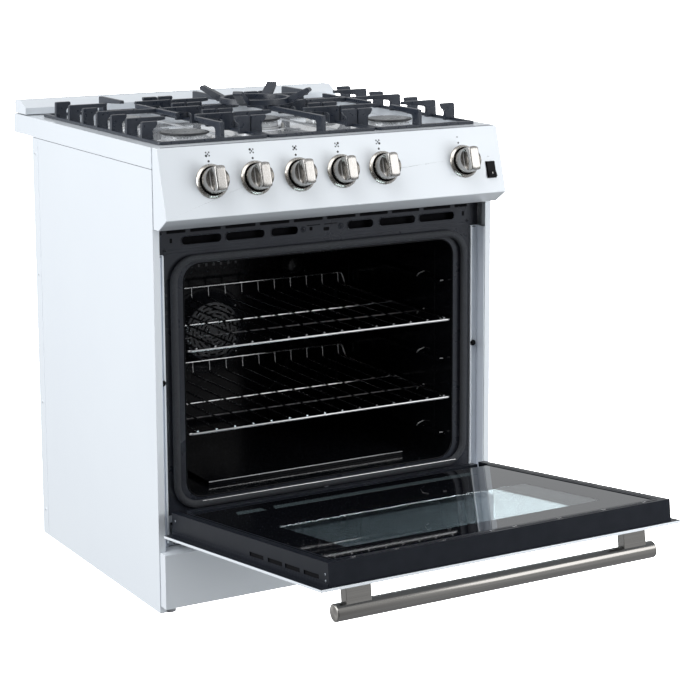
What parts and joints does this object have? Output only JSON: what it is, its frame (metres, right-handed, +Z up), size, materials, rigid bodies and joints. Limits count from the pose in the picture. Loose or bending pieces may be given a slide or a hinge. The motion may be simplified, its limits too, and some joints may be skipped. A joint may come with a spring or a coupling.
{
  "type": "freestanding gas range",
  "caption": "Freestanding gas range with a sealed-burner hob under three cast grates, a wok ring, sloping front controls, and an oven with wire racks and a drop-down glazed door.",
  "frame": {"origin": "centre of the bounding box of the open range, on the floor", "axes": "+X to the right of someone facing the range, -Y out of its front towards that person, +Z up"},
  "size_m": [0.762, 1.3578, 0.986],
  "materials": {
    "white_enamel": "gloss porcelain enamel",
    "black_enamel": "gloss porcelain enamel",
    "galvanised_steel": "galvanised, dull",
    "brushed_stainless": "brushed",
    "chromed_wire": "polished wire",
    "cast_iron": "matt enamel",
    "cast_aluminium": "cast, satin",
    "oven_glass": "tinted, polished",
    "gasket_braid": "woven glass-fibre braid",
    "black_plastic": "moulded",
    "brass": "turned"
  },
  "bodies": {
    "range_body": {"side_panel_left": "white_enamel", "side_panel_right": "white_enamel", "kick_panel": "white_enamel", "cooktop": "white_enamel", "rear_vent_trim": "white_enamel", "control_panel": "white_enamel", "front_frame": "black_enamel", "oven_cavity": "black_enamel", "oven_floor_panel": "black_enamel", "fan_cover": "black_enamel", "back_panel": "galvanised_steel", "base_pan": "galvanised_steel", "column_trim_left": "galvanised_steel", "column_trim_right": "galvanised_steel", "broil_burner": "galvanised_steel", "bake_burner": "galvanised_steel", "gas_manifold": "galvanised_steel", "hinge_arm_left": "galvanised_steel", "hinge_arm_right": "galvanised_steel", "burner_base_front_left": "cast_aluminium", "burner_base_back_left": "cast_aluminium", "burner_base_centre": "cast_aluminium", "burner_base_front_right": "cast_aluminium", "burner_base_back_right": "cast_aluminium", "oven_lamp": "oven_glass", "door_gasket": "gasket_braid", "leg_front_left": "black_plastic", "leg_front_right": "black_plastic", "leg_back_left": "black_plastic", "leg_back_right": "black_plastic"},
    "door": {"door_outer_panel": "white_enamel", "door_outer_glass": "oven_glass", "door_inner_frame": "black_enamel", "door_inner_glass": "oven_glass", "door_handle": "brushed_stainless"},
    "rack_upper": {"rack_upper": "chromed_wire"},
    "rack_lower": {"rack_lower": "chromed_wire"},
    "grate_left": {"grate_left": "cast_iron"},
    "grate_centre": {"grate_centre": "cast_iron"},
    "grate_right": {"grate_right": "cast_iron"},
    "wok_ring": {"wok_ring": "cast_iron"},
    "rocker": {"rocker_switch": "black_plastic"},
    "fan": {"fan_blade": "galvanised_steel"},
    "stem_1": {"valve_stem_1": "brass"},
    "knob_1": {"knob_1": "brushed_stainless"},
    "stem_2": {"valve_stem_2": "brass"},
    "knob_2": {"knob_2": "brushed_stainless"},
    "stem_3": {"valve_stem_3": "brass"},
    "knob_3": {"knob_3": "brushed_stainless"},
    "stem_4": {"valve_stem_4": "brass"},
    "knob_4": {"knob_4": "brushed_stainless"},
    "stem_5": {"valve_stem_5": "brass"},
    "knob_5": {"knob_5": "brushed_stainless"},
    "stem_6": {"valve_stem_6": "brass"},
    "knob_6": {"knob_6": "brushed_stainless"},
    "cap_front_left": {"burner_cap_front_left": "cast_iron"},
    "cap_back_left": {"burner_cap_back_left": "cast_iron"},
    "cap_centre": {"burner_cap_centre": "cast_iron"},
    "cap_front_right": {"burner_cap_front_right": "cast_iron"},
    "cap_back_right": {"burner_cap_back_right": "cast_iron"}
  },
  "joints": [
    {"name": "door_swing", "type": "hinge", "parent": "range_body", "child": "door", "pos_m": [0, -0.07709, 0.151], "axis": [-1, 0, 0], "range_deg": [0, 82.9]},
    {"name": "rack_upper_slide", "type": "slide", "parent": "range_body", "child": "rack_upper", "axis": [0, 1, 0], "range_m": [-0.3, 0]},
    {"name": "rack_lower_slide", "type": "slide", "parent": "range_body", "child": "rack_lower", "axis": [0, 1, 0], "range_m": [-0.3, 0]},
    {"name": "grate_left_lift", "type": "slide", "parent": "range_body", "child": "grate_left", "axis": [0, 0, 1], "range_m": [0, 0.1]},
    {"name": "grate_centre_lift", "type": "slide", "parent": "range_body", "child": "grate_centre", "axis": [0, 0, 1], "range_m": [0, 0.1]},
    {"name": "grate_right_lift", "type": "slide", "parent": "range_body", "child": "grate_right", "axis": [0, 0, 1], "range_m": [0, 0.1]},
    {"name": "wok_ring_lift", "type": "slide", "parent": "grate_centre", "child": "wok_ring", "axis": [0, 0, 1], "range_m": [0, 0.1]},
    {"name": "cap_front_left_lift", "type": "slide", "parent": "range_body", "child": "cap_front_left", "axis": [0, 0, 1], "range_m": [0, 0.018]},
    {"name": "cap_back_left_lift", "type": "slide", "parent": "range_body", "child": "cap_back_left", "axis": [0, 0, 1], "range_m": [0, 0.018]},
    {"name": "cap_centre_lift", "type": "slide", "parent": "range_body", "child": "cap_centre", "axis": [0, 0, 1], "range_m": [0, 0.018]},
    {"name": "cap_front_right_lift", "type": "slide", "parent": "range_body", "child": "cap_front_right", "axis": [0, 0, 1], "range_m": [0, 0.018]},
    {"name": "cap_back_right_lift", "type": "slide", "parent": "range_body", "child": "cap_back_right", "axis": [0, 0, 1], "range_m": [0, 0.018]},
    {"name": "knob_1_push", "type": "slide", "parent": "range_body", "child": "stem_1", "axis": [0, 0.961, -0.2766], "range_m": [0, 0.003], "stiffness_N_per_m": 900, "springref_m": -0.002},
    {"name": "knob_1_turn", "type": "hinge", "parent": "stem_1", "child": "knob_1", "pos_m": [-0.275, -0.08959, 0.85284], "axis": [0, -0.961, 0.2766], "range_deg": [0, 210]},
    {"name": "knob_2_push", "type": "slide", "parent": "range_body", "child": "stem_2", "axis": [0, 0.961, -0.2766], "range_m": [0, 0.003], "stiffness_N_per_m": 900, "springref_m": -0.002},
    {"name": "knob_2_turn", "type": "hinge", "parent": "stem_2", "child": "knob_2", "pos_m": [-0.181, -0.08959, 0.85284], "axis": [0, -0.961, 0.2766], "range_deg": [0, 210]},
    {"name": "knob_3_push", "type": "slide", "parent": "range_body", "child": "stem_3", "axis": [0, 0.961, -0.2766], "range_m": [0, 0.003], "stiffness_N_per_m": 900, "springref_m": -0.002},
    {"name": "knob_3_turn", "type": "hinge", "parent": "stem_3", "child": "knob_3", "pos_m": [-0.087, -0.08959, 0.85284], "axis": [0, -0.961, 0.2766], "range_deg": [0, 210]},
    {"name": "knob_4_push", "type": "slide", "parent": "range_body", "child": "stem_4", "axis": [0, 0.961, -0.2766], "range_m": [0, 0.003], "stiffness_N_per_m": 900, "springref_m": -0.002},
    {"name": "knob_4_turn", "type": "hinge", "parent": "stem_4", "child": "knob_4", "pos_m": [0.007, -0.08959, 0.85284], "axis": [0, -0.961, 0.2766], "range_deg": [0, 210]},
    {"name": "knob_5_push", "type": "slide", "parent": "range_body", "child": "stem_5", "axis": [0, 0.961, -0.2766], "range_m": [0, 0.003], "stiffness_N_per_m": 900, "springref_m": -0.002},
    {"name": "knob_5_turn", "type": "hinge", "parent": "stem_5", "child": "knob_5", "pos_m": [0.101, -0.08959, 0.85284], "axis": [0, -0.961, 0.2766], "range_deg": [0, 210]},
    {"name": "knob_6_push", "type": "slide", "parent": "range_body", "child": "stem_6", "axis": [0, 0.961, -0.2766], "range_m": [0, 0.003], "stiffness_N_per_m": 900, "springref_m": -0.002},
    {"name": "knob_6_turn", "type": "hinge", "parent": "stem_6", "child": "knob_6", "pos_m": [0.289, -0.08959, 0.85284], "axis": [0, -0.961, 0.2766], "range_deg": [-280, 0]},
    {"name": "rocker_rock", "type": "hinge", "parent": "range_body", "child": "rocker", "pos_m": [0.35, -0.08099, 0.82851], "axis": [1, 0, 0], "range_deg": [0, 12]},
    {"name": "fan_spin", "type": "hinge", "parent": "range_body", "child": "fan", "pos_m": [-0.016, 0.48491, 0.43], "axis": [0, -1, 0], "continuous": true}
  ]
}
